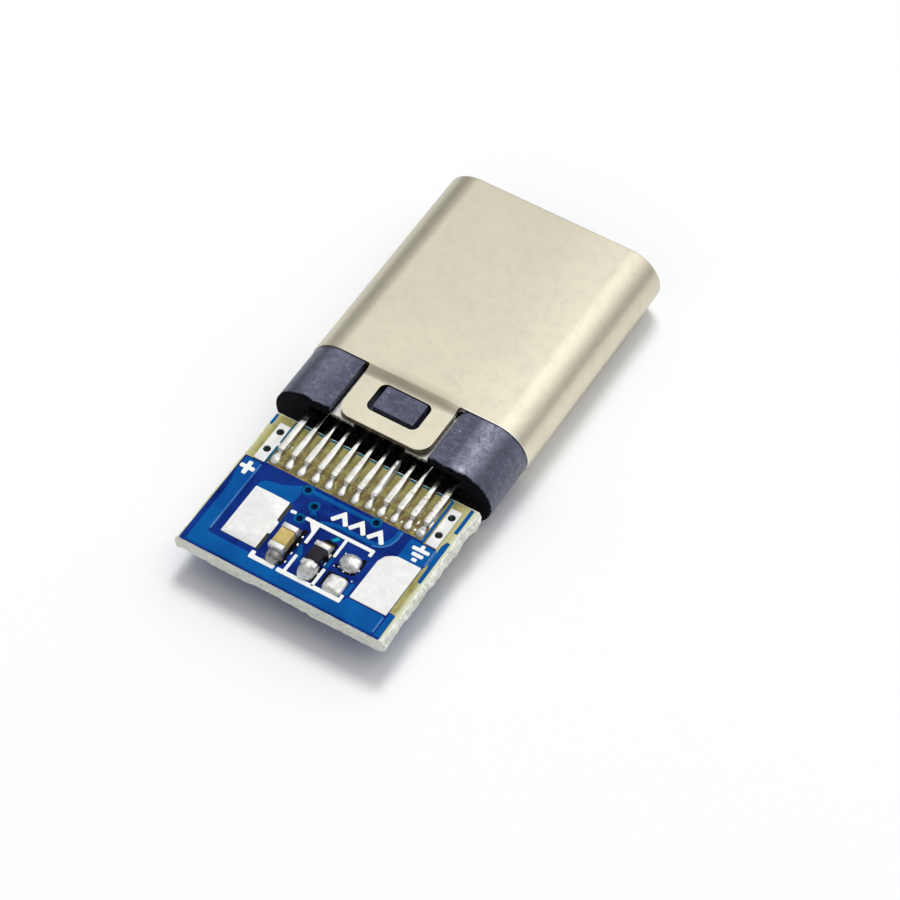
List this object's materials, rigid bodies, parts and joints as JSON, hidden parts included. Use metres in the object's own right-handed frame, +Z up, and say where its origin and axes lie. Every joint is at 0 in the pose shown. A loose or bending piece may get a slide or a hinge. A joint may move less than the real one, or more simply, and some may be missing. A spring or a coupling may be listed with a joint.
{
  "type": "usb-c plug",
  "caption": "Reversible plug: a drawn metal shell with round ends, contact rows in a dark plastic housing, and a small solder board with wire pads astride its tails.",
  "frame": {"origin": "middle of the overall length and width, on the plane that the shell's broad side lies on", "axes": "+Y out of the mouth, +Z up through the face with the wire pads, +X to the right seen from the board"},
  "size_m": [0.0082, 0.0172, 0.0024],
  "materials": {
    "shell_steel": "satin nickel over drawn stainless steel",
    "housing_plastic": "matt blue-grey glass-filled moulding, scuffed",
    "insulator_plastic": "matt black moulding",
    "plate_steel": "stamped and nickel plated",
    "contact_alloy": "copper alloy, gold at the mating end and tinned at the tail",
    "board_laminate": "blue solder mask on glass-epoxy laminate",
    "tinned_pad": "tinned copper foil",
    "capacitor_ceramic": "fired ceramic",
    "resistor_glaze": "dark glaze on ceramic",
    "chip_end": "tinned end cap"
  },
  "bodies": {
    "root": {"anchor_pad_left": "tinned_pad", "anchor_pad_right": "tinned_pad", "capacitor_body": "capacitor_ceramic", "capacitor_end_far": "chip_end", "capacitor_end_near": "chip_end", "circuit_board": "board_laminate", "contact_bottom_01": "contact_alloy", "contact_bottom_02": "contact_alloy", "contact_bottom_03": "contact_alloy", "contact_bottom_04": "contact_alloy", "contact_bottom_05": "contact_alloy", "contact_bottom_06": "contact_alloy", "contact_bottom_07": "contact_alloy", "contact_bottom_08": "contact_alloy", "contact_bottom_09": "contact_alloy", "contact_bottom_10": "contact_alloy", "contact_bottom_11": "contact_alloy", "contact_bottom_12": "contact_alloy", "contact_top_01": "contact_alloy", "contact_top_02": "contact_alloy", "contact_top_03": "contact_alloy", "contact_top_04": "contact_alloy", "contact_top_05": "contact_alloy", "contact_top_06": "contact_alloy", "contact_top_07": "contact_alloy", "contact_top_08": "contact_alloy", "contact_top_09": "contact_alloy", "contact_top_10": "contact_alloy", "contact_top_11": "contact_alloy", "contact_top_12": "contact_alloy", "front_insulator_left": "insulator_plastic", "front_insulator_lower": "insulator_plastic", "front_insulator_right": "insulator_plastic", "front_insulator_upper": "insulator_plastic", "ground_plate_bottom": "plate_steel", "ground_plate_top": "plate_steel", "ground_spring_bottom": "plate_steel", "ground_spring_top": "plate_steel", "latch_plate": "plate_steel", "outer_shell": "shell_steel", "rear_housing": "housing_plastic", "resistor_body": "resistor_glaze", "resistor_end_far": "chip_end", "resistor_end_near": "chip_end", "terminal_holder_bottom": "insulator_plastic", "terminal_holder_top": "insulator_plastic", "wire_pad_ground": "tinned_pad", "wire_pad_positive": "tinned_pad"}
  },
  "joints": []
}
